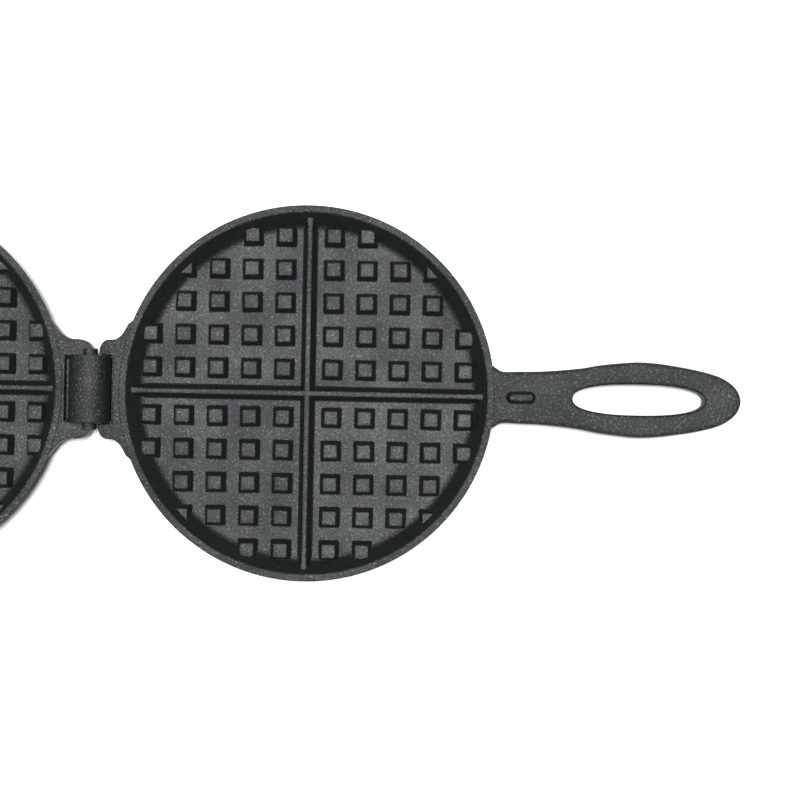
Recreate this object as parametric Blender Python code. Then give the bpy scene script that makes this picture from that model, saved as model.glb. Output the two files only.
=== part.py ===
"""Stovetop waffle iron: two cast-iron halves on a lift-off hook-and-bar hinge, lying open and flat.

Metres, +Z up. The origin is the middle of the lower half's flat underside. Its handle points along +X,
the hinge's axis runs along Y on the other side, and the upper half lies open beyond it, face up.
Both castings are drawn in the lower half's place. The upper one is then turned round the hinge.
"""

import math

import bmesh
import bpy
from mathutils import Vector

# Plate
PLATE_DIAMETER = 0.198
PLATE_HEIGHT = 0.0175
FLOOR_THICKNESS = 0.005
RIM_WIDTH = 0.0038
RIM_EDGE = 0.0005
RIM_DRAFT = 0.0025
WALL_DRAFT = 0.0068
WALL_FOOT_FILLET = 0.0016
BASE_CURVE_WIDTH = 0.0125
BASE_CURVE_HEIGHT = 0.007

# Pegs and the cross that parts the waffle into quarters
PEG_PITCH = 0.01766
FIRST_PEG = 0.0128
PEG_FOOT = 0.0106
PEG_TOP = 0.0072
PEG_HEIGHT = 0.007
PEG_EDGE = 0.0006
CROSS_FOOT = 0.0068
CROSS_TOP = 0.0025
CROSS_HEIGHT = 0.0082
CROSS_EDGE = 0.0004

# Handle, measured from the plate's edge
HANDLE_LENGTH = 0.1312
HANDLE_WIDTH = 0.040
HANDLE_THICKNESS = 0.009
HANDLE_CLEAR_OF_TABLE = 0.0045
HANDLE_EDGE = 0.0022
HANDLE_DROP = 0.003
HANDLE_STRAIGHT = 0.0267
OPENING_NECK = 0.0415
OPENING_TIP_WALL = 0.0195
OPENING_WIDTH = 0.0164
OPENING_EDGE = 0.0014
OPENING_SQUARENESS = 2.4

# Boss on each neck, which keeps the two handles apart when the iron is shut
BOSS_RUN = 0.0139
BOSS_LENGTH = 0.0158
BOSS_WIDTH = 0.0066
BOSS_DRAFT = 0.0015
SHUT_GAP = 0.0003

# Hinge: a hook on the lower half, open at the top, and a round bar on the upper half
BAR_RADIUS = 0.0108
RUNNING_GAP = 0.0003
BAR_EDGE = 0.0008
HOOK_LIP = 0.0015
HOOK_FLOOR = 0.003
HOOK_TIP_LENGTH = 0.031
HOOK_ROOT_LENGTH = 0.0336
NOTCH_LENGTH = 0.036
NOTCH_MARGIN = 0.0005
BRACKET_SPAN = 0.052
BRACKET_THICKNESS = 0.0105
BRACKET_STEP = 0.0004
HOOK_STEP = 0.0003
RIM_LEDGE = 0.001
WINDOW_MARGIN = 0.001
ARM_THICKNESS = 0.008
ARM_END_RADIUS = 0.0038
ARM_END_GAP = 0.0005
ARM_BAR_OVERLAP = 0.0003

# How far joined shapes run into each other, and the distance within which points are one
OVERLAP = 0.001
SAME_POINT = 0.000001

# Fineness
PLATE_SEGMENTS = 96
BASE_CURVE_STEPS = 4
ARC_STEPS = 20
BAR_SEGMENTS = 36
OPENING_SEGMENTS = 40
BOSS_END_STEPS = 6
ROOT_STEPS = 8
HANDLE_STEPS = 2

# The handle's outline: shares of the run from the plate's edge to the tip, and of half the handle's width
HANDLE_SHARES = (
    (-0.04, 0.99),
    (0.004, 0.78),
    (0.036, 0.68),
    (0.10, 0.69),
    (0.20, 0.71),
    (0.34, 0.80),
    (0.42, 0.895),
    (0.50, 0.96),
    (0.58, 1.0),
    (0.66, 0.975),
    (0.74, 0.905),
    (0.82, 0.815),
    (0.90, 0.68),
    (0.95, 0.52),
    (0.985, 0.30),
)
# Where the bracket's root ends inside the rim, as a share of half its span
ROOT_SHARE = 1.58
# An ear's outline: shares of the run from the plate's edge to the ear's end, and of half the bracket's span
EAR_SHARES = (
    (-0.44, 1.33),
    (-0.19, 1.15),
    (0.05, 1.05),
    (0.29, 1.01),
    (0.63, 1.0),
    (0.87, 0.935),
    (1.0, 0.815),
)

PLATE_RADIUS = PLATE_DIAMETER / 2
RIM_INNER_RADIUS = PLATE_RADIUS - RIM_WIDTH
WALL_FOOT_RADIUS = RIM_INNER_RADIUS - WALL_DRAFT
HANDLE_REACH = PLATE_RADIUS + HANDLE_LENGTH
HANDLE_BEND_START = PLATE_RADIUS + HANDLE_STRAIGHT
OPENING_LENGTH = HANDLE_LENGTH - OPENING_NECK - OPENING_TIP_WALL
OPENING_MIDDLE = PLATE_RADIUS + OPENING_NECK + OPENING_LENGTH / 2
BOSS_MIDDLE = PLATE_RADIUS + BOSS_RUN
AXIS_HEIGHT = PLATE_HEIGHT + SHUT_GAP / 2
BRACKET_TOP = PLATE_HEIGHT - BRACKET_STEP
HOOK_INNER_RADIUS = BAR_RADIUS + RUNNING_GAP
HOOK_OUTER_RADIUS = HOOK_INNER_RADIUS + HOOK_FLOOR
WINDOW_FLOOR = PLATE_RADIUS + RIM_LEDGE
HINGE_REACH = WINDOW_FLOOR + WINDOW_MARGIN + HOOK_LIP + HOOK_INNER_RADIUS
EAR_REACH = HINGE_REACH - ARM_END_RADIUS - ARM_END_GAP


def clear_scene():
    for obj in list(bpy.data.objects):
        bpy.data.objects.remove(obj)


def cast_iron(name, shade):
    """Bare seasoned cast iron: nearly black, rough and only slightly metallic to the eye."""
    material = bpy.data.materials.new(name)
    material.use_nodes = True
    shader = material.node_tree.nodes["Principled BSDF"]
    shader.inputs["Base Color"].default_value = (shade, shade, shade, 1)
    shader.inputs["Roughness"].default_value = 0.6
    shader.inputs["Metallic"].default_value = 0.4
    return material


def object_from(name, bm, holder=None, material=None):
    """Links the mesh as an object, under the empty that holds its half."""
    bmesh.ops.recalc_face_normals(bm, faces=bm.faces)
    mesh = bpy.data.meshes.new(name)
    bm.to_mesh(mesh)
    bm.free()
    mesh.shade_smooth()
    mesh.set_sharp_from_angle(angle=math.radians(32))
    obj = bpy.data.objects.new(name, mesh)
    bpy.context.scene.collection.objects.link(obj)
    if holder:
        obj.parent = holder
        obj.location = (HINGE_REACH, 0, -AXIS_HEIGHT)
    if material:
        mesh.materials.append(material)
    return obj


def helper(obj):
    obj.hide_render = True
    obj.display_type = "WIRE"
    return obj


def cut(obj, other):
    modifier = obj.modifiers.new(other.name, "BOOLEAN")
    modifier.object = other
    modifier.operation = "DIFFERENCE"
    modifier.solver = "EXACT"


def join(obj, other):
    """Both meshes are closed, so the manifold solver can join them. The exact one leaves an open seam
    where the handle and the outer pegs graze the slanted wall."""
    modifier = obj.modifiers.new(other.name, "BOOLEAN")
    modifier.object = other
    modifier.operation = "UNION"
    modifier.solver = "MANIFOLD"


def add_stack(bm, rings):
    """A closed solid through rings of points that all have one count, with a cap at each end."""
    loops = [[bm.verts.new(point) for point in ring] for ring in rings]
    for low, high in zip(loops, loops[1:]):
        for i, vert in enumerate(low):
            j = (i + 1) % len(low)
            bm.faces.new((vert, low[j], high[j], high[i]))
    bm.faces.new(list(reversed(loops[0])))
    bm.faces.new(loops[-1])


def at_height(outline, z):
    return [(x, y, z) for x, y in outline]


def offset_outline(outline, distance):
    """The outline, which runs counterclockwise, moved outwards by the distance."""
    moved = []
    for i, here in enumerate(outline):
        before = Vector(outline[i - 1])
        after = Vector(outline[(i + 1) % len(outline)])
        along = (after - before).normalized()
        moved.append((here[0] + along.y * distance, here[1] - along.x * distance))
    return moved


def offset_half(half, distance):
    """The same for half an outline, which starts on the middle plane and ends where its piece is buried."""
    mirrored_next = (half[1][0], -half[1][1])
    line = [mirrored_next, *half, half[-1]]
    moved = []
    for before, here, after in zip(line, line[1:], line[2:]):
        along = (Vector(after) - Vector(before)).normalized()
        moved.append((here[0] + along.y * distance, here[1] - along.x * distance))
    return moved


def smooth_line(points, steps):
    """A Catmull-Rom curve through the points, with the given number of steps between two of them."""
    ends = [points[0], *points, points[-1]]
    line = []
    for before, start, end, after in zip(ends, ends[1:], ends[2:], ends[3:]):
        for step in range(steps):
            t = step / steps
            place = []
            for a, b, c, d in zip(before, start, end, after):
                bend = 2 * a - 5 * b + 4 * c - d
                twist = 3 * (b - c) + d - a
                place.append((2 * b + (c - a) * t + bend * t**2 + twist * t**3) / 2)
            line.append(tuple(place))
    return [*line, tuple(points[-1])]


def mirrored_outline(half):
    """Closes an outline from its half at +Y, which runs from the +X end to the -X end."""
    other = [(x, -y) for x, y in reversed(half) if y > 0]
    return [*half, *other]


def square(x, y, half_side):
    return [
        (x - half_side, y - half_side),
        (x + half_side, y - half_side),
        (x + half_side, y + half_side),
        (x - half_side, y + half_side),
    ]


def plate_profile():
    """Half the plate's section, from the edge of the flat underside round the rim to the edge of the floor."""
    base_radius = PLATE_RADIUS - RIM_DRAFT - BASE_CURVE_WIDTH
    points = []
    for step in range(BASE_CURVE_STEPS + 1):
        angle = math.pi / 2 * step / BASE_CURVE_STEPS
        r = base_radius + BASE_CURVE_WIDTH * math.sin(angle)
        points.append((r, BASE_CURVE_HEIGHT * (1 - math.cos(angle))))
    slope = WALL_DRAFT / (PLATE_HEIGHT - FLOOR_THICKNESS)
    fillet = WALL_FOOT_FILLET
    points += [
        (PLATE_RADIUS, PLATE_HEIGHT - RIM_EDGE),
        (PLATE_RADIUS - RIM_EDGE, PLATE_HEIGHT),
        (RIM_INNER_RADIUS + RIM_EDGE, PLATE_HEIGHT),
        (RIM_INNER_RADIUS - RIM_EDGE * slope, PLATE_HEIGHT - RIM_EDGE),
        (WALL_FOOT_RADIUS + fillet * slope, FLOOR_THICKNESS + fillet),
        (WALL_FOOT_RADIUS - fillet, FLOOR_THICKNESS),
    ]
    return points


def plate(name, holder, material):
    """The round plate, turned in one piece with its rim and its slanted inner wall."""
    bm = bmesh.new()
    verts = [bm.verts.new((r, 0, z)) for r, z in plate_profile()]
    edges = [bm.edges.new(pair) for pair in zip(verts, verts[1:])]
    bmesh.ops.spin(
        bm,
        geom=verts + edges,
        cent=(0, 0, 0),
        axis=(0, 0, 1),
        angle=math.tau,
        steps=PLATE_SEGMENTS,
        use_merge=True,
    )
    bmesh.ops.remove_doubles(bm, verts=bm.verts, dist=SAME_POINT)
    bmesh.ops.holes_fill(bm, edges=bm.edges)
    return object_from(name, bm, holder, material)


def peg_middles():
    """The middles of the pegs, on a square grid in each quarter. One whose middle is past the rim is left out."""
    count = int((RIM_INNER_RADIUS - FIRST_PEG) / PEG_PITCH) + 1
    steps = [FIRST_PEG + i * PEG_PITCH for i in range(count)]
    quarter = [(x, y) for x in steps for y in steps if math.hypot(x, y) < RIM_INNER_RADIUS]
    return [(x * side, y * way) for x, y in quarter for side in (-1, 1) for way in (-1, 1)]


def draw_in(bm, reach):
    """Draws every point that lies further from the plate's middle than the reach back to it."""
    for vert in bm.verts:
        shrink = min(1, reach / math.hypot(vert.co.x, vert.co.y))
        vert.co.x *= shrink
        vert.co.y *= shrink


def pegs(name, holder):
    """The pegs, tapered so that the waffle lets go. They run into the floor, and the outer ones into the wall."""
    bm = bmesh.new()
    flare = (PEG_FOOT - PEG_TOP) / 2 / PEG_HEIGHT
    levels = [
        (FLOOR_THICKNESS - OVERLAP, PEG_FOOT / 2 + OVERLAP * flare),
        (FLOOR_THICKNESS + PEG_HEIGHT - PEG_EDGE, PEG_TOP / 2 + PEG_EDGE * flare),
        (FLOOR_THICKNESS + PEG_HEIGHT, PEG_TOP / 2 - PEG_EDGE),
    ]
    for x, y in peg_middles():
        add_stack(bm, [at_height(square(x, y, half), z) for z, half in levels])
    draw_in(bm, RIM_INNER_RADIUS - OVERLAP)
    return helper(object_from(name, bm, holder))


def cross_outline(half_width, reach):
    near, far = half_width, reach
    arm = [(far, -near), (far, near), (near, near), (near, far), (-near, far), (-near, near)]
    return arm + [(-x, -y) for x, y in arm]


def cross(name, holder):
    """The two ridges that part the waffle into quarters. Their ends run into the wall."""
    bm = bmesh.new()
    flare = (CROSS_FOOT - CROSS_TOP) / 2 / CROSS_HEIGHT
    reach = RIM_INNER_RADIUS - OVERLAP
    levels = [
        (FLOOR_THICKNESS - OVERLAP, CROSS_FOOT / 2 + OVERLAP * flare),
        (FLOOR_THICKNESS + CROSS_HEIGHT - CROSS_EDGE, CROSS_TOP / 2 + CROSS_EDGE * flare),
        (FLOOR_THICKNESS + CROSS_HEIGHT, CROSS_TOP / 2 - CROSS_EDGE),
    ]
    add_stack(bm, [at_height(cross_outline(half, reach), z) for z, half in levels])
    return helper(object_from(name, bm, holder))


def bend_handle(bm):
    """Lets the grip fall away from the neck, so that a hand fits between the two handles."""
    run = HANDLE_REACH - HANDLE_BEND_START
    for vert in bm.verts:
        share = max(0, vert.co.x - HANDLE_BEND_START) / run
        vert.co.z -= HANDLE_DROP * share**2


def handle_opening(name, holder):
    """The long oval through the grip, wider at its two faces."""
    bm = bmesh.new()
    power = 2 / OPENING_SQUARENESS
    oval = []
    for step in range(OPENING_SEGMENTS):
        angle = math.tau * step / OPENING_SEGMENTS
        across = math.copysign(abs(math.cos(angle)) ** power, math.cos(angle))
        up = math.copysign(abs(math.sin(angle)) ** power, math.sin(angle))
        oval.append((OPENING_MIDDLE + OPENING_LENGTH / 2 * across, OPENING_WIDTH / 2 * up))
    low = HANDLE_CLEAR_OF_TABLE
    high = low + HANDLE_THICKNESS
    levels = [
        (low - OVERLAP, OPENING_EDGE + OVERLAP),
        (low + OPENING_EDGE, 0),
        (high - OPENING_EDGE, 0),
        (high + OVERLAP, OPENING_EDGE + OVERLAP),
    ]
    add_stack(bm, [at_height(offset_outline(oval, grow), z) for z, grow in levels])
    bend_handle(bm)
    return helper(object_from(name, bm, holder))


def handle(name, holder, opening):
    """The flat cast handle: a straight neck, then a long oval grip with rounded edges."""
    bm = bmesh.new()
    run = HANDLE_REACH - PLATE_RADIUS
    stations = [(PLATE_RADIUS + run * x, HANDLE_WIDTH / 2 * y) for x, y in HANDLE_SHARES]
    tip = (HANDLE_REACH, 0)
    half = list(reversed(smooth_line([*stations, tip], HANDLE_STEPS)))
    low = HANDLE_CLEAR_OF_TABLE
    high = low + HANDLE_THICKNESS
    edge = HANDLE_EDGE
    levels = [(low, -edge), (low + edge, 0), (high - edge, 0), (high - edge / 4, -edge / 3), (high, -edge)]
    root = (RIM_INNER_RADIUS, 0)
    add_stack(bm, [at_height(mirrored_outline([*offset_half(half, grow), root]), z) for z, grow in levels])
    bend_handle(bm)
    obj = helper(object_from(name, bm, holder))
    cut(obj, opening)
    return obj


def boss(name, holder):
    """The oblong boss on the neck. Its top stops level with the rim."""
    bm = bmesh.new()

    def oblong(inset):
        radius = BOSS_WIDTH / 2 - inset
        straight = (BOSS_LENGTH - BOSS_WIDTH) / 2
        points = []
        for side, start in ((1, -math.pi / 2), (-1, math.pi / 2)):
            for step in range(BOSS_END_STEPS + 1):
                angle = start + math.pi * step / BOSS_END_STEPS
                x = BOSS_MIDDLE + straight * side + radius * math.cos(angle)
                points.append((x, radius * math.sin(angle)))
        return points

    neck_top = HANDLE_CLEAR_OF_TABLE + HANDLE_THICKNESS
    rings = [
        at_height(oblong(0), neck_top - OVERLAP),
        at_height(oblong(BOSS_DRAFT), PLATE_HEIGHT - RIM_EDGE),
        at_height(oblong(BOSS_DRAFT + RIM_EDGE), PLATE_HEIGHT),
    ]
    add_stack(bm, rings)
    return helper(object_from(name, bm, holder))


def bracket_outline(reach, notch_floor, notch_half):
    """A bracket of two ears with a notch between them, seen from above. Its root follows the rim, inside it."""
    run = reach - PLATE_RADIUS
    radius = RIM_INNER_RADIUS + RIM_EDGE
    root = []
    for step in range(ROOT_STEPS + 1):
        angle = math.asin(BRACKET_SPAN / 2 * ROOT_SHARE / radius) * step / ROOT_STEPS
        root.append((-radius * math.cos(angle), radius * math.sin(angle)))
    ear = [(-(PLATE_RADIUS + run * x), BRACKET_SPAN / 2 * y) for x, y in EAR_SHARES]
    inner = [(ear[-1][0], notch_half), (-notch_floor, notch_half)]
    return mirrored_outline([*root, *ear, *inner])


def bracket(name, holder, reach, notch_floor, notch_half, thickness):
    bm = bmesh.new()
    outline = bracket_outline(reach, notch_floor, notch_half)
    add_stack(bm, [at_height(outline, BRACKET_TOP - thickness), at_height(outline, BRACKET_TOP)])
    return helper(object_from(name, bm, holder))


def hook_section():
    """The hook from the side: a floor out of the plate's foot, a half-round seat and a thin lip."""
    seat_top = BRACKET_TOP - HOOK_STEP
    start = -math.asin((AXIS_HEIGHT - seat_top) / HOOK_INNER_RADIUS)
    seat = []
    for step in range(ARC_STEPS + 1):
        angle = start + (-math.pi - start) * step / ARC_STEPS
        x = -HINGE_REACH + HOOK_INNER_RADIUS * math.cos(angle)
        seat.append((x, AXIS_HEIGHT + HOOK_INNER_RADIUS * math.sin(angle)))
    middle = -HINGE_REACH + HOOK_FLOOR - HOOK_LIP
    back = []
    for step in range(ARC_STEPS // 2 + 1):
        angle = -math.pi + math.pi / 2 * step / (ARC_STEPS // 2)
        x = middle + HOOK_OUTER_RADIUS * math.cos(angle)
        back.append((x, AXIS_HEIGHT + HOOK_OUTER_RADIUS * math.sin(angle)))
    underside = back[-1][1]
    root = [(-WALL_FOOT_RADIUS, underside), (-(PLATE_RADIUS - OVERLAP), seat_top)]
    return [*seat, *back, *root]


def hook(name, holder):
    """The hook's section drawn out along the hinge's axis, and narrower at the lip than at the root."""
    bm = bmesh.new()
    section = hook_section()
    lip_x = min(x for x, z in section)
    run = -PLATE_RADIUS - lip_x

    def side(way):
        points = []
        for x, z in section:
            share = min(1, (x - lip_x) / run)
            length = HOOK_TIP_LENGTH + (HOOK_ROOT_LENGTH - HOOK_TIP_LENGTH) * share
            points.append((x, way * length / 2, z))
        return points

    add_stack(bm, [side(-1), side(1)])
    return helper(object_from(name, bm, holder))


def bar(name, holder):
    """The round bar of the upper half, with the two smaller ends that join it to the arms."""
    bm = bmesh.new()
    half = NOTCH_LENGTH / 2 - RUNNING_GAP
    arm_outside = BRACKET_SPAN / 2 * EAR_SHARES[-1][1]

    def ring(radius, y):
        points = []
        for step in range(BAR_SEGMENTS):
            angle = math.tau * step / BAR_SEGMENTS
            x = -HINGE_REACH + radius * math.cos(angle)
            points.append((x, y, AXIS_HEIGHT + radius * math.sin(angle)))
        return points

    rings = [
        ring(ARM_END_RADIUS, -arm_outside),
        ring(ARM_END_RADIUS, -half),
        ring(BAR_RADIUS - BAR_EDGE, -half),
        ring(BAR_RADIUS, -half + BAR_EDGE),
        ring(BAR_RADIUS, half - BAR_EDGE),
        ring(BAR_RADIUS - BAR_EDGE, half),
        ring(ARM_END_RADIUS, half),
        ring(ARM_END_RADIUS, arm_outside),
    ]
    add_stack(bm, rings)
    return helper(object_from(name, bm, holder))


def half_iron(side, holder, material):
    """One casting without its hinge: plate, pegs, cross, handle and boss."""
    body = plate(side + "_plate", holder, material)
    join(body, handle(side + "_handle_blank", holder, handle_opening(side + "_opening", holder)))
    join(body, cross(side + "_cross", holder))
    join(body, pegs(side + "_pegs", holder))
    join(body, boss(side + "_boss", holder))
    return body


def lower_half():
    """The half in the photograph. Its hook takes the bar of the other half from above."""
    body = half_iron("lower", None, cast_iron("lower_cast_iron", 0.045))
    notch_floor = HINGE_REACH - HOOK_INNER_RADIUS - NOTCH_MARGIN
    ears = bracket("lower_ears", None, EAR_REACH, notch_floor, NOTCH_LENGTH / 2, BRACKET_THICKNESS)
    join(body, ears)
    join(body, hook("lower_hook", None))
    return body


def upper_half():
    """The half that swings over. Two arms hold its bar, with a window between bar and rim for the hook."""
    holder = bpy.data.objects.new("hinge_axis", None)
    bpy.context.scene.collection.objects.link(holder)
    holder.location = (-HINGE_REACH, 0, AXIS_HEIGHT)
    holder.rotation_euler = (0, 0, math.pi)
    body = half_iron("upper", holder, cast_iron("upper_cast_iron", 0.048))
    inside = NOTCH_LENGTH / 2 - RUNNING_GAP - ARM_BAR_OVERLAP
    arms = bracket("upper_arms", holder, HINGE_REACH, WINDOW_FLOOR, inside, ARM_THICKNESS)
    join(body, arms)
    join(body, bar("upper_bar", holder))
    return body


clear_scene()
lower_half()
upper_half()
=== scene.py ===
import math
import random

import bmesh
import bpy
from mathutils import Matrix, Vector


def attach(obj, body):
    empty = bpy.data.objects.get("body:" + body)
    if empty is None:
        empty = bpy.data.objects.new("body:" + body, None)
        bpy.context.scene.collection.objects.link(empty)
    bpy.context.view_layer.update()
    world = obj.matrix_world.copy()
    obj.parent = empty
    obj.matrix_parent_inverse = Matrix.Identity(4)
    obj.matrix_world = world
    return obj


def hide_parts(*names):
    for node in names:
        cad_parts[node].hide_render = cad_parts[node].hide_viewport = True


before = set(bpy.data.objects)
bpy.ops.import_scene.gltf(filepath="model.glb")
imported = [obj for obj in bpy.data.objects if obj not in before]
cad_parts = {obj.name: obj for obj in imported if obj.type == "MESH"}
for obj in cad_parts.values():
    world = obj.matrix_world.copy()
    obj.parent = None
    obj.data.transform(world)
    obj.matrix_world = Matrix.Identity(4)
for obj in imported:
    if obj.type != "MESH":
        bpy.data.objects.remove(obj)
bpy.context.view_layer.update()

# %% [markdown]
# # Stovetop waffle iron, lying open
#
# The iron is two round castings of bare iron. The lower half lies where the photograph shows it, with its
# handle along +X. The upper half hangs on the lower half's hook by a round bar, and lies open beyond it.
# The imported CAD model gives the frame: metres, +Z up, and the origin under the middle of the lower plate.
# Every form below is drawn in the lower half's place. For the upper half it is then turned half round.

# %% [markdown]
# ## Cast iron
#
# Waffle irons are cast in green sand, which leaves a grain that can be felt. Oil baked onto the bare metal
# then turns it nearly black. Five things show on it: the sand's grain, bright specks where grains stand
# proud, slow patches of thicker oil, a faint green or violet sheen, and painted shade that darkens every
# steep side. One node group makes them all from the object's own coordinates and normals, so the
# grain runs on from one form of a casting to the next. It takes the two colours that differ between finishes.

# %% Small helpers for nodes
def add_noise(tree, vector, scale, detail):
    noise = tree.nodes.new("ShaderNodeTexNoise")
    noise.inputs["Scale"].default_value = scale
    noise.inputs["Detail"].default_value = detail
    tree.links.new(vector, noise.inputs["Vector"])
    return noise.outputs["Fac"]


def add_range(tree, value, low, high, to_low, to_high):
    node = tree.nodes.new("ShaderNodeMapRange")
    tree.links.new(value, node.inputs["Value"])
    for socket, number in (("From Min", low), ("From Max", high), ("To Min", to_low), ("To Max", to_high)):
        node.inputs[socket].default_value = number
    return node.outputs["Result"]


def add_mix(tree, factor, first, second, blend="MIX"):
    """Mixes two colours. Each of the three inputs is a value or another node's output."""
    node = tree.nodes.new("ShaderNodeMix")
    node.data_type = "RGBA"
    node.blend_type = blend
    for socket, given in ((node.inputs[0], factor), (node.inputs[6], first), (node.inputs[7], second)):
        if isinstance(given, bpy.types.NodeSocket):
            tree.links.new(given, socket)
        else:
            socket.default_value = given
    return node.outputs[2]


def add_bump(tree, height, distance, normal=None):
    node = tree.nodes.new("ShaderNodeBump")
    node.inputs["Distance"].default_value = distance
    tree.links.new(height, node.inputs["Height"])
    if normal:
        tree.links.new(normal, node.inputs["Normal"])
    return node.outputs["Normal"]


# %% Node group for the cast surface
# Each noise as its scale per metre and its detail
GRAIN = (950, 3)
WAVES = (260, 2)
TINTS = (110, 2)
PATCHES = (38, 4)
# Each range as the noise's low and high value, and what they turn into
OILED = (0.3, 0.7, 0, 1)
PITTED = (0.36, 0.58, 0.75, 0)
SPECKED = (0.56, 0.72, 0, 0.8)
TINTED = (0.35, 0.65, 0, 1)
ROUGHENED = (0.3, 0.7, 0.66, 0.5)
# The upward share of the normal on a steep side and on a level face, and how much painted shade darkens the
# colour there
PAINTED_SHADE_RANGE = (0.45, 0.9, 0.92, 0)
GRAIN_HEIGHT = 0.0005
WAVE_HEIGHT = 0.0002
SPECK_IRON = (0.13, 0.132, 0.128, 1)
# The colour of the painted shade that darkens steep sides and peg feet
PAINTED_SHADE_COLOUR = (0.0045, 0.005, 0.0055, 1)
GREEN_SHEEN = (0.94, 1.0, 0.93, 1)
VIOLET_SHEEN = (1.0, 0.93, 1.02, 1)


def cast_surface_group():
    tree = bpy.data.node_groups.new("cast_surface", "ShaderNodeTree")
    for name, kind in (("Vector", "Vector"), ("Facing", "Vector"), ("Dark", "Color"), ("Pale", "Color")):
        tree.interface.new_socket(name, in_out="INPUT", socket_type=f"NodeSocket{kind}")
    for name, kind in (("Color", "Color"), ("Roughness", "Float"), ("Normal", "Vector")):
        tree.interface.new_socket(name, in_out="OUTPUT", socket_type=f"NodeSocket{kind}")
    given = tree.nodes.new("NodeGroupInput").outputs
    result = tree.nodes.new("NodeGroupOutput").inputs
    grain = add_noise(tree, given["Vector"], *GRAIN)
    waves = add_noise(tree, given["Vector"], *WAVES)
    tints = add_noise(tree, given["Vector"], *TINTS)
    patches = add_noise(tree, given["Vector"], *PATCHES)
    oiled = add_mix(tree, add_range(tree, patches, *OILED), given["Dark"], given["Pale"])
    grained = add_mix(tree, add_range(tree, grain, *PITTED), oiled, given["Dark"])
    specked = add_mix(tree, add_range(tree, grain, *SPECKED), grained, SPECK_IRON)
    sheen = add_mix(tree, add_range(tree, tints, *TINTED), GREEN_SHEEN, VIOLET_SHEEN)
    tinted = add_mix(tree, 1.0, specked, sheen, "MULTIPLY")
    facing = tree.nodes.new("ShaderNodeSeparateXYZ")
    tree.links.new(given["Facing"], facing.inputs["Vector"])
    # Painted shade: the steeper the face, the darker its colour
    shade_painted = add_mix(tree, add_range(tree, facing.outputs["Z"], *PAINTED_SHADE_RANGE), tinted, PAINTED_SHADE_COLOUR)
    waved = add_bump(tree, waves, WAVE_HEIGHT)
    tree.links.new(shade_painted, result["Color"])
    tree.links.new(add_range(tree, patches, *ROUGHENED), result["Roughness"])
    tree.links.new(add_bump(tree, grain, GRAIN_HEIGHT, waved), result["Normal"])
    return tree


cast_surface = cast_surface_group()
print("cast_surface:", len(cast_surface.nodes), "nodes")

# %% [markdown]
# ## Two finishes of one iron
#
# The outside and the handles keep their baked oil and stay darker. The cooking face is brushed out after
# every use, so its floor, pegs and ridges are a little paler. Both finishes are the same group with other
# colours. The low specular level is that of a thin, dry film of oil on rough iron.

# %% Two materials
FILM_METALLIC = 0.15
FILM_SPECULAR = 0.42
BAKED_DARK = (0.007, 0.008, 0.0084, 1)
BAKED_PALE = (0.0165, 0.0175, 0.017, 1)
SCOURED_DARK = (0.016, 0.017, 0.0175, 1)
SCOURED_PALE = (0.040, 0.042, 0.041, 1)


def iron_material(name, dark, pale):
    material = bpy.data.materials.new(name)
    material.use_nodes = True
    tree = material.node_tree
    shader = tree.nodes["Principled BSDF"]
    shader.inputs["Metallic"].default_value = FILM_METALLIC
    shader.inputs["Specular IOR Level"].default_value = FILM_SPECULAR
    surface = tree.nodes.new("ShaderNodeGroup")
    surface.node_tree = cast_surface
    surface.inputs["Dark"].default_value = dark
    surface.inputs["Pale"].default_value = pale
    place = tree.nodes.new("ShaderNodeTexCoord")
    tree.links.new(place.outputs["Object"], surface.inputs["Vector"])
    tree.links.new(place.outputs["Normal"], surface.inputs["Facing"])
    tree.links.new(surface.outputs["Color"], shader.inputs["Base Color"])
    tree.links.new(surface.outputs["Roughness"], shader.inputs["Roughness"])
    tree.links.new(surface.outputs["Normal"], shader.inputs["Normal"])
    return material


baked_iron = iron_material("baked_iron", BAKED_DARK, BAKED_PALE)
scoured_iron = iron_material("scoured_iron", SCOURED_DARK, SCOURED_PALE)
print("materials:", baked_iron.name, scoured_iron.name)

# %% [markdown]
# ## Tools that every form uses
#
# A form ends up as an object at the origin, with outward faces and smooth shading that stops at real
# edges. It rides on its half's body and stands for that half's CAD node. Flat cast forms are drawn as an
# outline and raised, and then the bevel operator rounds their edges, as sand and wear do.

# %% Finish a form
HINGE_REACH = 0.1136
SAME_POINT = 0.000001
SMOOTH_UP_TO = math.radians(38)
BEVEL_FROM = math.radians(40)
BEVEL_SEGMENTS = 3
OVERLAP = 0.001
turned_round = Matrix.Translation((-2 * HINGE_REACH, 0, 0)) @ Matrix.Rotation(math.pi, 4, "Z")


def finish_form(side, name, bm, materials):
    """Makes the mesh an object of the lower or the upper half."""
    bmesh.ops.remove_doubles(bm, verts=bm.verts, dist=SAME_POINT)
    bmesh.ops.recalc_face_normals(bm, faces=bm.faces)
    if side == "upper":
        bmesh.ops.transform(bm, matrix=turned_round, verts=bm.verts)
    mesh = bpy.data.meshes.new(f"{side}_{name}")
    bm.to_mesh(mesh)
    bm.free()
    mesh.shade_smooth()
    mesh.set_sharp_from_angle(angle=SMOOTH_UP_TO)
    for material in materials:
        mesh.materials.append(material)
    piece = bpy.data.objects.new(mesh.name, mesh)
    bpy.context.scene.collection.objects.link(piece)
    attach(piece, side)
    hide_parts(f"{side}_plate")
    print(piece.name, len(mesh.polygons), "faces")
    return piece


def bevel_sharp(bm, width, segments):
    """Rounds every edge between two faces that meet more steeply than BEVEL_FROM."""
    sharp = [edge for edge in bm.edges if edge.is_manifold and edge.calc_face_angle() > BEVEL_FROM]
    bmesh.ops.bevel(
        bm,
        geom=sharp,
        offset=width,
        segments=segments,
        profile=0.5,
        affect="EDGES",
        clamp_overlap=True,
        material=-1,
    )


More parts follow.
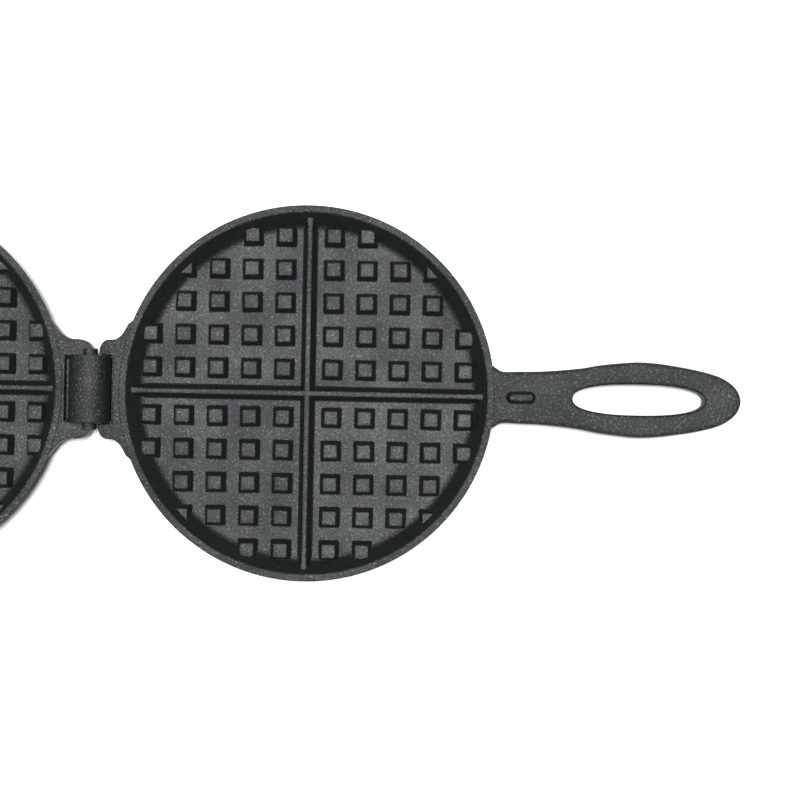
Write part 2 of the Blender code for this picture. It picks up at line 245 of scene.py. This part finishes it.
def raise_outline(bm, outline, low, high):
    """A flat form: the outline at its low height, raised to its high one."""
    face = bm.faces.new([bm.verts.new((x, y, low)) for x, y in outline])
    raised = bmesh.ops.extrude_face_region(bm, geom=[face])
    tops = [part for part in raised["geom"] if isinstance(part, bmesh.types.BMVert)]
    bmesh.ops.translate(bm, vec=(0, 0, high - low), verts=tops)
    bmesh.ops.recalc_face_normals(bm, faces=bm.faces)
    return tops


def wire_ring(bm, points):
    """A closed ring of edges through the points."""
    verts = [bm.verts.new(point) for point in points]
    return [bm.edges.new(pair) for pair in zip(verts, verts[1:] + verts[:1])]


def bridge_rings(bm, rings):
    """Skins the rings from the first to the last, and gives back the edges of each."""
    loops = [wire_ring(bm, ring) for ring in rings]
    for first, second in zip(loops, loops[1:]):
        bmesh.ops.bridge_loops(bm, edges=first + second)
    return loops


def smooth_line(points, steps):
    """A Catmull-Rom curve through the points, with the given number of steps between two of them."""
    ends = [points[0], *points, points[-1]]
    line = []
    for before, start, end, after in zip(ends, ends[1:], ends[2:], ends[3:]):
        for step in range(steps):
            t = step / steps
            place = []
            for a, b, c, d in zip(before, start, end, after):
                bend = 2 * a - 5 * b + 4 * c - d
                twist = 3 * (b - c) + d - a
                place.append((2 * b + (c - a) * t + bend * t**2 + twist * t**3) / 2)
            line.append(tuple(place))
    return [*line, tuple(points[-1])]


def mirrored_outline(half):
    """Closes an outline from its half at +Y, which runs from the +X end to the -X end."""
    return [*half, *[(x, -y) for x, y in reversed(half) if y > 0]]


# %% [markdown]
# ## Plate
#
# The plate is a shallow round pan. Its floor is 5 mm thick, and its inner wall leans outwards so that the
# waffle lets go. The rim is a narrow flat ring where the two halves meet when shut, and the underside
# curves up from the flat that stands on the burner. A pattern for such a pan is turned on a lathe, so the
# mesh is too: half a section with rounded corners, spun round the middle.

# %% Turn the plates
PLATE_RADIUS = 0.099
PLATE_HEIGHT = 0.0175
FLOOR_THICKNESS = 0.005
RIM_WIDTH = 0.0038
RIM_DRAFT = 0.0025
WALL_DRAFT = 0.0068
BASE_CURVE_WIDTH = 0.0125
BASE_CURVE_HEIGHT = 0.007
BASE_CURVE_STEPS = 8
RIM_EDGE_REACH = 0.0008
WALL_FOOT_REACH = 0.0028
CORNER_STEPS = 5
PLATE_STEPS = 192
RIM_INNER_RADIUS = PLATE_RADIUS - RIM_WIDTH
WALL_FOOT_RADIUS = RIM_INNER_RADIUS - WALL_DRAFT


def rounded_corner(before, corner, after, reach):
    """A curve in place of a corner. It starts and ends at the reach from it."""
    corner = Vector(corner)
    start = corner + (Vector(before) - corner).normalized() * reach
    end = corner + (Vector(after) - corner).normalized() * reach
    points = []
    for step in range(CORNER_STEPS + 1):
        t = step / CORNER_STEPS
        points.append(tuple(start * (1 - t) ** 2 + corner * 2 * t * (1 - t) + end * t**2))
    return points


def plate_section():
    """Half the plate's section as radius and height, from the flat underside to the floor."""
    base_radius = PLATE_RADIUS - RIM_DRAFT - BASE_CURVE_WIDTH
    points = []
    for step in range(BASE_CURVE_STEPS + 1):
        angle = math.pi / 2 * step / BASE_CURVE_STEPS
        r = base_radius + BASE_CURVE_WIDTH * math.sin(angle)
        points.append((r, BASE_CURVE_HEIGHT * (1 - math.cos(angle))))
    outer = (PLATE_RADIUS, PLATE_HEIGHT)
    inner = (RIM_INNER_RADIUS, PLATE_HEIGHT)
    foot = (WALL_FOOT_RADIUS, FLOOR_THICKNESS)
    floor = (WALL_FOOT_RADIUS - 2 * WALL_FOOT_REACH, FLOOR_THICKNESS)
    points += rounded_corner(points[-1], outer, inner, RIM_EDGE_REACH)
    points += rounded_corner(outer, inner, foot, RIM_EDGE_REACH)
    points += rounded_corner(inner, foot, floor, WALL_FOOT_REACH)
    return [*points, floor]


def plate(side):
    bm = bmesh.new()
    verts = [bm.verts.new((r, 0, z)) for r, z in plate_section()]
    edges = [bm.edges.new(pair) for pair in zip(verts, verts[1:])]
    bmesh.ops.spin(
        bm,
        geom=verts + edges,
        cent=(0, 0, 0),
        axis=(0, 0, 1),
        angle=math.tau,
        steps=PLATE_STEPS,
        use_merge=True,
    )
    bmesh.ops.remove_doubles(bm, verts=bm.verts, dist=SAME_POINT)
    bmesh.ops.holes_fill(bm, edges=bm.edges)
    for face in bm.faces:
        middle = face.calc_center_median()
        inside = middle.xy.length < RIM_INNER_RADIUS and middle.z > FLOOR_THICKNESS - SAME_POINT
        face.material_index = 1 if inside else 0
    return finish_form(side, "pan", bm, [baked_iron, scoured_iron])


plates = [plate(side) for side in ("lower", "upper")]

# %% [markdown]
# ## Pegs
#
# Pegs press the pockets into the waffle. Each is a blunt square pyramid 7 mm high, with a small fillet at
# its foot where sand won't hold a sharp corner. They stand on a square grid in each quarter, and the
# outermost run into the leaning wall. One peg is made from a cube with tapered, bevelled edges and then
# repeated. Each copy is a trifle off in size and turn, as pegs of a hand-finished pattern are.

# %% Make one peg and set out the grid
PEG_PITCH = 0.01766
FIRST_PEG = 0.0128
PEG_FOOT = 0.0106
PEG_TOP = 0.0072
PEG_HEIGHT = 0.007
PEG_EDGE = 0.0007
FOOT_FILLET = 0.0006
SUNK = 0.0003
FACING_DOWN = -0.9
# Rings at the foot: how much wider each is than the one above, and how far below it
FOOT_RINGS = ((1.03, FOOT_FILLET * 0.65), (1.07, FOOT_FILLET * 0.3), (1.0, SUNK))
PEG_TURN = math.radians(1.2)
PEG_GROWTH = 0.012
LOWER_SEED = 3
UPPER_SEED = 4


def peg_mesh():
    """One peg with its middle at the origin and its foot on the floor's plane."""
    bm = bmesh.new()
    bmesh.ops.create_cube(bm, size=1)
    for vert in bm.verts:
        side = PEG_TOP if vert.co.z > 0 else PEG_FOOT
        vert.co.x *= side
        vert.co.y *= side
        vert.co.z = PEG_HEIGHT if vert.co.z > 0 else FOOT_FILLET
    underside = [face for face in bm.faces if face.normal.z < FACING_DOWN]
    bmesh.ops.delete(bm, geom=underside, context="FACES_ONLY")
    bevel_sharp(bm, PEG_EDGE, BEVEL_SEGMENTS)
    for spread, drop in FOOT_RINGS:
        rim = [edge for edge in bm.edges if edge.is_boundary]
        made = bmesh.ops.extrude_edge_only(bm, edges=rim)
        for part in made["geom"]:
            if isinstance(part, bmesh.types.BMVert):
                part.co.x *= spread
                part.co.y *= spread
                part.co.z -= drop
    mesh = bpy.data.meshes.new("peg")
    bm.to_mesh(mesh)
    bm.free()
    return mesh


def peg_middles():
    """The pegs' middles. One whose middle is past the rim is left out."""
    count = int((RIM_INNER_RADIUS - FIRST_PEG) / PEG_PITCH) + 1
    steps = [FIRST_PEG + i * PEG_PITCH for i in range(count)]
    quarter = [(x, y) for x in steps for y in steps if math.hypot(x, y) < RIM_INNER_RADIUS]
    return [(x * across, y * up) for x, y in quarter for across in (-1, 1) for up in (-1, 1)]


def draw_in(bm, reach):
    """Draws every point that lies further from the plate's middle than the reach back to it."""
    for vert in bm.verts:
        shrink = min(1, reach / math.hypot(vert.co.x, vert.co.y))
        vert.co.x *= shrink
        vert.co.y *= shrink


def pegs(side, one_peg, seed):
    chance = random.Random(seed)
    bm = bmesh.new()
    for x, y in peg_middles():
        count = len(bm.verts)
        bm.from_mesh(one_peg)
        bm.verts.ensure_lookup_table()
        turn = Matrix.Rotation(chance.uniform(-PEG_TURN, PEG_TURN), 4, "Z")
        grow = Matrix.Scale(1 + chance.uniform(-PEG_GROWTH, PEG_GROWTH), 4)
        place = Matrix.Translation((x, y, FLOOR_THICKNESS))
        bmesh.ops.transform(bm, matrix=place @ turn @ grow, verts=bm.verts[count:])
    draw_in(bm, RIM_INNER_RADIUS - OVERLAP)
    return finish_form(side, "pegs", bm, [scoured_iron])


one_peg = peg_mesh()
print("pegs in a half:", len(peg_middles()))
peg_fields = [pegs("lower", one_peg, LOWER_SEED), pegs("upper", one_peg, UPPER_SEED)]

# %% [markdown]
# ## Cross
#
# Two ridges part the waffle into quarters. They are higher and narrower than the pegs, with a blunt top,
# and they widen a little where they run into the wall. The cross is skinned through outlines of one shape
# at growing heights and shrinking widths.

# %% Skin the crosses
CROSS_FOOT = 0.0068
CROSS_TOP = 0.0025
CROSS_HEIGHT = 0.0082
CROSS_FLARE = 0.0016
CROSS_FLARE_RUN = 0.009
CROSS_FLARE_STEPS = 5
CROSS_FLARE_LOSS = 0.6
# Shares of the height, and how far the side stands out from the straight taper there
CROSS_LEVELS = (
    (-0.03, 0.0008),
    (0.02, 0.0006),
    (0.08, 0.0002),
    (0.17, 0),
    (0.90, 0),
    (0.965, -0.0002),
    (1.0, -0.0007),
)


def cross_outline(half_width, reach, flare):
    """The cross from above, each arm a little wider at the wall."""
    flares = [flare * (step / CROSS_FLARE_STEPS) ** 2 for step in range(CROSS_FLARE_STEPS + 1)]
    near = []
    for step, wider in enumerate(flares):
        x = reach - CROSS_FLARE_RUN * (1 - step / CROSS_FLARE_STEPS)
        near.append((x, half_width + wider))
    arm = [*[(x, -y) for x, y in near], *reversed(near)]
    points = []
    for quarter in range(4):
        turn = Matrix.Rotation(math.pi / 2 * quarter, 2)
        points += [tuple(turn @ Vector(point)) for point in arm]
        points.append(tuple(turn @ Vector((half_width, half_width))))
    return points


def cross(side):
    bm = bmesh.new()
    reach = RIM_INNER_RADIUS - OVERLAP
    rings = []
    for share, stand_out in CROSS_LEVELS:
        half = (CROSS_FOOT + (CROSS_TOP - CROSS_FOOT) * share) / 2 + stand_out
        z = FLOOR_THICKNESS + CROSS_HEIGHT * share
        flare = CROSS_FLARE * (1 - CROSS_FLARE_LOSS * share)
        rings.append([(x, y, z) for x, y in cross_outline(half, reach, flare)])
    loops = bridge_rings(bm, rings)
    bmesh.ops.triangle_fill(bm, use_beauty=True, edges=loops[-1])
    return finish_form(side, "cross", bm, [scoured_iron])


crosses = [cross(side) for side in ("lower", "upper")]

# %% [markdown]
# ## Handle
#
# The handle is cast in one with the plate: a flat neck, then a long oval grip with a hole that keeps it
# cooler and hangs it up. Its outline was read off the photograph at even stations and is drawn through
# them as a smooth curve. The edges are well rounded for the hand. Rings of that outline are skinned from
# the underside up, the hole gets rings of its own, and flat triangles fill top and bottom between them.
# The grip then bends down slightly, so that there is room for fingers between the two handles when shut.

# %% Skin the handles
HANDLE_REACH = 0.2302
HANDLE_WIDTH = 0.040
HANDLE_THICKNESS = 0.009
HANDLE_CLEAR_OF_TABLE = 0.0045
HANDLE_EDGE = 0.0024
HANDLE_DROP = 0.003
HANDLE_BEND_START = 0.1257
OPENING_MIDDLE = 0.1756
OPENING_LENGTH = 0.0702
OPENING_WIDTH = 0.0164
OPENING_EDGE = 0.0016
OPENING_SQUARENESS = 2.4
OPENING_STEPS = 72
OUTLINE_STEPS = 6
EDGE_STEPS = 5
# Shares of the run from the plate's edge to the tip, and of half the handle's width
HANDLE_SHARES = (
    (-0.04, 0.99),
    (0.004, 0.78),
    (0.036, 0.68),
    (0.10, 0.69),
    (0.20, 0.71),
    (0.34, 0.80),
    (0.42, 0.895),
    (0.50, 0.96),
    (0.58, 1.0),
    (0.66, 0.975),
    (0.74, 0.905),
    (0.82, 0.815),
    (0.90, 0.68),
    (0.95, 0.52),
    (0.985, 0.30),
)


def offset_line(line, distance):
    """The line moved to its right by the distance. Its ends are taken as lying on a straight run."""
    moved = []
    for before, here, after in zip([line[0], *line], line, [*line[1:], line[-1]]):
        along = (Vector(after) - Vector(before)).normalized()
        moved.append((here[0] + along.y * distance, here[1] - along.x * distance))
    return moved


def handle_half():
    """The handle's outline at +Y, from the tip to the root in the plate's wall."""
    run = HANDLE_REACH - PLATE_RADIUS
    stations = [(PLATE_RADIUS + run * x, HANDLE_WIDTH / 2 * y) for x, y in HANDLE_SHARES]
    tip = (HANDLE_REACH, 0)
    beyond = (stations[-1][0], -stations[-1][1])
    line = smooth_line([*stations, tip, beyond], OUTLINE_STEPS)
    return list(reversed(line[:-OUTLINE_STEPS]))


def handle_ring(inset):
    half = handle_half()
    mirrored_next = (half[1][0], -half[1][1])
    moved = offset_line([mirrored_next, *half], -inset)[1:]
    moved[0] = (HANDLE_REACH - inset, 0)
    return mirrored_outline([*moved, (RIM_INNER_RADIUS, 0)])


def opening_ring(grow):
    """The long oval, squarer at its ends than an ellipse."""
    power = 2 / OPENING_SQUARENESS
    points = []
    for step in range(OPENING_STEPS):
        angle = math.tau * step / OPENING_STEPS
        across = math.copysign(abs(math.cos(angle)) ** power, math.cos(angle))
        up = math.copysign(abs(math.sin(angle)) ** power, math.sin(angle))
        points.append((OPENING_LENGTH / 2 * across, OPENING_WIDTH / 2 * up))
    loop = [points[-1], *points, points[0]]
    moved = offset_line(loop, grow)[1:-1]
    return [(OPENING_MIDDLE + x, y) for x, y in moved]


def rounded_levels(low, high, edge):
    """Heights with the inset of the side there, for a slab with quarter-round edges."""
    levels = []
    for step in range(EDGE_STEPS + 1):
        angle = math.pi / 2 * step / EDGE_STEPS
        levels.append((edge * (1 - math.sin(angle)), edge * (1 - math.cos(angle))))
    below = [(low + rise, inset) for inset, rise in levels]
    above = [(high - rise, inset) for inset, rise in reversed(levels)]
    return below + above


def handle(side):
    bm = bmesh.new()
    low = HANDLE_CLEAR_OF_TABLE
    high = low + HANDLE_THICKNESS
    outer_levels = rounded_levels(low, high, HANDLE_EDGE)
    hole_levels = rounded_levels(low, high, OPENING_EDGE)
    outer = [[(x, y, z) for x, y in handle_ring(inset)] for z, inset in outer_levels]
    hole = [[(x, y, z) for x, y in opening_ring(grow)] for z, grow in hole_levels]
    outer_loops = bridge_rings(bm, outer)
    hole_loops = bridge_rings(bm, hole)
    for i in (0, -1):
        bmesh.ops.triangle_fill(bm, use_beauty=True, edges=outer_loops[i] + hole_loops[i])
    run = HANDLE_REACH - HANDLE_BEND_START
    for vert in bm.verts:
        share = max(0, vert.co.x - HANDLE_BEND_START) / run
        vert.co.z -= HANDLE_DROP * share**2
    return finish_form(side, "handle", bm, [baked_iron])


handles = [handle(side) for side in ("lower", "upper")]

# %% [markdown]
# ## Boss on the neck
#
# A small oblong boss stands on each neck, level with the rim. The two bosses meet when the iron is shut
# and keep the handles apart. It is an oblong raised from the neck, drawn in towards its top and bevelled.

# %% Raise the bosses
BOSS_MIDDLE = 0.1129
BOSS_LENGTH = 0.0158
BOSS_WIDTH = 0.0066
BOSS_DRAFT = 0.0015
BOSS_EDGE = 0.0006
BOSS_END_STEPS = 10


def oblong(radius):
    straight = (BOSS_LENGTH - BOSS_WIDTH) / 2
    points = []
    for side, start in ((1, -math.pi / 2), (-1, math.pi / 2)):
        for step in range(BOSS_END_STEPS + 1):
            angle = start + math.pi * step / BOSS_END_STEPS
            x = BOSS_MIDDLE + straight * side + radius * math.cos(angle)
            points.append((x, radius * math.sin(angle)))
    return points


def boss(side):
    bm = bmesh.new()
    neck_top = HANDLE_CLEAR_OF_TABLE + HANDLE_THICKNESS
    tops = raise_outline(bm, oblong(BOSS_WIDTH / 2), neck_top - SUNK, PLATE_HEIGHT)
    shrink = 1 - 2 * BOSS_DRAFT / BOSS_WIDTH
    for vert in tops:
        vert.co.x = BOSS_MIDDLE + (vert.co.x - BOSS_MIDDLE) * (1 - 2 * BOSS_DRAFT / BOSS_LENGTH)
        vert.co.y *= shrink
    bevel_sharp(bm, BOSS_EDGE, BEVEL_SEGMENTS)
    return finish_form(side, "boss", bm, [baked_iron])


bosses = [boss(side) for side in ("lower", "upper")]

# %% [markdown]
# ## Brackets
#
# On the hinge's side each rim runs out into a bracket. The lower half's is two ears with a notch between
# them, where the hook sits. The upper half's is two arms that reach to the hinge's axis, with a window
# between them and the rim that the hook swings through. Both are flat, with sand-rounded edges.

# %% Raise the brackets
BAR_RADIUS = 0.0108
RUNNING_GAP = 0.0003
SHUT_GAP = 0.0003
HOOK_LIP = 0.0015
HOOK_FLOOR = 0.003
NOTCH_LENGTH = 0.036
NOTCH_MARGIN = 0.0005
WINDOW_MARGIN = 0.001
BRACKET_SPAN = 0.052
BRACKET_THICKNESS = 0.0105
BRACKET_STEP = 0.0004
ROOT_INSIDE_RIM = 0.0004
BRACKET_EDGE = 0.0009
ARM_THICKNESS = 0.008
EAR_REACH = 0.1093
AXIS_HEIGHT = PLATE_HEIGHT + SHUT_GAP / 2
HOOK_INNER_RADIUS = BAR_RADIUS + RUNNING_GAP
BRACKET_TOP = PLATE_HEIGHT - BRACKET_STEP
ROOT_STEPS = 12
EAR_STEPS = 4
# Where the bracket's root ends inside the rim, as a share of half its span
ROOT_SHARE = 1.58
# Shares of the run from the plate's edge to the ear's end, and of half the bracket's span
EAR_SHARES = (
    (-0.44, 1.33),
    (-0.19, 1.15),
    (0.05, 1.05),
    (0.29, 1.01),
    (0.63, 1.0),
    (0.87, 0.935),
    (1.0, 0.815),
)


def bracket(side, name, reach, notch_floor, notch_half, thickness):
    bm = bmesh.new()
    run = reach - PLATE_RADIUS
    radius = RIM_INNER_RADIUS + ROOT_INSIDE_RIM
    root = []
    for step in range(ROOT_STEPS + 1):
        angle = math.asin(BRACKET_SPAN / 2 * ROOT_SHARE / radius) * step / ROOT_STEPS
        root.append((-radius * math.cos(angle), radius * math.sin(angle)))
    stations = [(-(PLATE_RADIUS + run * x), BRACKET_SPAN / 2 * y) for x, y in EAR_SHARES]
    ear = smooth_line(stations, EAR_STEPS)
    notch = [(ear[-1][0], notch_half), (-notch_floor, notch_half)]
    outline = mirrored_outline([*root, *ear, *notch])
    raise_outline(bm, outline, BRACKET_TOP - thickness, BRACKET_TOP)
    bevel_sharp(bm, BRACKET_EDGE, BEVEL_SEGMENTS)
    return finish_form(side, name, bm, [baked_iron])


notch_floor = HINGE_REACH - HOOK_INNER_RADIUS - NOTCH_MARGIN
window_floor = HINGE_REACH - HOOK_INNER_RADIUS - HOOK_LIP - WINDOW_MARGIN
arm_inside = NOTCH_LENGTH / 2 - 2 * RUNNING_GAP
brackets = [
    bracket("lower", "ears", EAR_REACH, notch_floor, NOTCH_LENGTH / 2, BRACKET_THICKNESS),
    bracket("upper", "arms", HINGE_REACH, window_floor, arm_inside, ARM_THICKNESS),
]

# %% [markdown]
# ## Hook
#
# The lower half's hook is a half-round trough, open at the top. The other half's bar drops into it and
# turns there, and it lifts out again when the iron is cleaned. Its section is a thick floor out of the
# plate's foot and a thin lip beyond the bar. It is drawn from the side and pulled out along the axis,
# and it narrows towards the lip.

# %% Pull out the hook
HOOK_TIP_LENGTH = 0.031
HOOK_ROOT_LENGTH = 0.0336
HOOK_STEP = 0.0003
HOOK_EDGE = 0.0005
HOOK_SEGMENTS = 2
ARC_STEPS = 36
HOOK_OUTER_RADIUS = HOOK_INNER_RADIUS + HOOK_FLOOR


def arc(middle_x, radius, start, end, steps):
    points = []
    for step in range(steps + 1):
        angle = start + (end - start) * step / steps
        points.append((middle_x + radius * math.cos(angle), AXIS_HEIGHT + radius * math.sin(angle)))
    return points


def hook_section():
    """The hook from the side, as x and z."""
    seat_top = BRACKET_TOP - HOOK_STEP
    start = -math.asin((AXIS_HEIGHT - seat_top) / HOOK_INNER_RADIUS)
    seat = arc(-HINGE_REACH, HOOK_INNER_RADIUS, start, -math.pi, ARC_STEPS)
    back_middle = -HINGE_REACH + HOOK_FLOOR - HOOK_LIP
    back = arc(back_middle, HOOK_OUTER_RADIUS, -math.pi, -math.pi / 2, ARC_STEPS // 2)
    root = [(-WALL_FOOT_RADIUS, back[-1][1]), (-(PLATE_RADIUS - OVERLAP), seat_top)]
    return [*seat, *back, *root]


def hook():
    bm = bmesh.new()
    section = hook_section()
    lip_x = min(x for x, z in section)
    face = bm.faces.new([bm.verts.new((x, 0, z)) for x, z in section])
    bmesh.ops.extrude_face_region(bm, geom=[face])
    bm.verts.ensure_lookup_table()
    for i, vert in enumerate(bm.verts):
        share = min(1, (vert.co.x - lip_x) / (-PLATE_RADIUS - lip_x))
        half = (HOOK_TIP_LENGTH + (HOOK_ROOT_LENGTH - HOOK_TIP_LENGTH) * share) / 2
        vert.co.y = -half if i < len(section) else half
    bmesh.ops.recalc_face_normals(bm, faces=bm.faces)
    bevel_sharp(bm, HOOK_EDGE, HOOK_SEGMENTS)
    return finish_form("lower", "hook", bm, [baked_iron])


hook_piece = hook()

# %% [markdown]
# ## Bar
#
# The bar is the upper half's part of the hinge. It is cast between the two arms and lies in the hook with
# 0.3 mm of play. It is a turned form: its section is spun round the hinge's axis.

# %% Turn the bar
BAR_EDGE = 0.0008
ARM_END_GAP = 0.0005
BAR_STEPS = 72
ARM_END_RADIUS = HINGE_REACH - EAR_REACH - ARM_END_GAP


def bar():
    bm = bmesh.new()
    half = NOTCH_LENGTH / 2 - RUNNING_GAP
    outside = BRACKET_SPAN / 2 * EAR_SHARES[-1][1]
    end = (ARM_END_RADIUS, half)
    corner = (BAR_RADIUS, half)
    edge = rounded_corner(end, corner, (BAR_RADIUS, 0), BAR_EDGE)
    top = [(ARM_END_RADIUS, outside), end, *edge]
    section = [*top, *[(r, -y) for r, y in reversed(top)]]
    verts = [bm.verts.new((-HINGE_REACH + r, y, AXIS_HEIGHT)) for r, y in section]
    edges = [bm.edges.new(pair) for pair in zip(verts, verts[1:])]
    bmesh.ops.spin(
        bm,
        geom=verts + edges,
        cent=(-HINGE_REACH, 0, AXIS_HEIGHT),
        axis=(0, 1, 0),
        angle=math.tau,
        steps=BAR_STEPS,
        use_merge=True,
    )
    bmesh.ops.remove_doubles(bm, verts=bm.verts, dist=SAME_POINT)
    bmesh.ops.holes_fill(bm, edges=bm.edges)
    return finish_form("upper", "bar", bm, [baked_iron])


bar_piece = bar()

# %% [markdown]
# ## Studio
#
# The iron lies on a pale matt floor under a wide soft light, and the camera looks straight down as the
# photograph does. The lens and height put the plate's rim at the same size and place in the frame.

# %% Floor, lights and camera
FLOOR_SIDE = 16
FLOOR_PAINT = (0.9, 0.9, 0.9, 1)
FLOOR_ROUGHNESS = 0.9
PHOTO_LENS = 64
PHOTO_TURN = math.radians(1.15)
CAMERA_PLACE = (0.0492, -0.0025, 0.764)
# Each light as its name, place, target, size and power
LIGHTS = (
    ("key", (0.1, 0.35, 4), (0.05, 0, 0), 1.1, 258),
    ("fill", (-1.6, -1.8, 3.6), (0, 0, 0), 1.6, 18),
)
WORLD_STRENGTH = 0.12


def add_floor():
    bm = bmesh.new()
    bmesh.ops.create_grid(bm, x_segments=1, y_segments=1, size=FLOOR_SIDE / 2)
    mesh = bpy.data.meshes.new("floor")
    bm.to_mesh(mesh)
    bm.free()
    material = bpy.data.materials.new("pale_floor")
    material.use_nodes = True
    shader = material.node_tree.nodes["Principled BSDF"]
    shader.inputs["Base Color"].default_value = FLOOR_PAINT
    shader.inputs["Roughness"].default_value = FLOOR_ROUGHNESS
    mesh.materials.append(material)
    floor = bpy.data.objects.new("floor", mesh)
    bpy.context.scene.collection.objects.link(floor)


def add_area_light(name, place, target, size, power):
    light = bpy.data.lights.new(name, "AREA")
    light.shape = "DISK"
    light.size = size
    light.energy = power
    lamp = bpy.data.objects.new(name, light)
    lamp.location = place
    lamp.rotation_euler = (Vector(target) - Vector(place)).to_track_quat("-Z", "Y").to_euler()
    bpy.context.scene.collection.objects.link(lamp)


def add_world(strength):
    world = bpy.data.worlds.new("studio")
    world.use_nodes = True
    background = world.node_tree.nodes["Background"]
    background.inputs["Color"].default_value = (1, 1, 1, 1)
    background.inputs["Strength"].default_value = strength
    bpy.context.scene.world = world


def add_camera():
    data = bpy.data.cameras.new("camera")
    data.lens = PHOTO_LENS
    camera = bpy.data.objects.new("camera", data)
    camera.location = CAMERA_PLACE
    camera.rotation_euler = (0, 0, PHOTO_TURN)
    bpy.context.scene.collection.objects.link(camera)
    bpy.context.scene.camera = camera


add_floor()
for light in LIGHTS:
    add_area_light(*light)
add_world(WORLD_STRENGTH)
add_camera()
print("lights:", [light[0] for light in LIGHTS])
bpy.context.scene.view_settings.view_transform = "Standard"
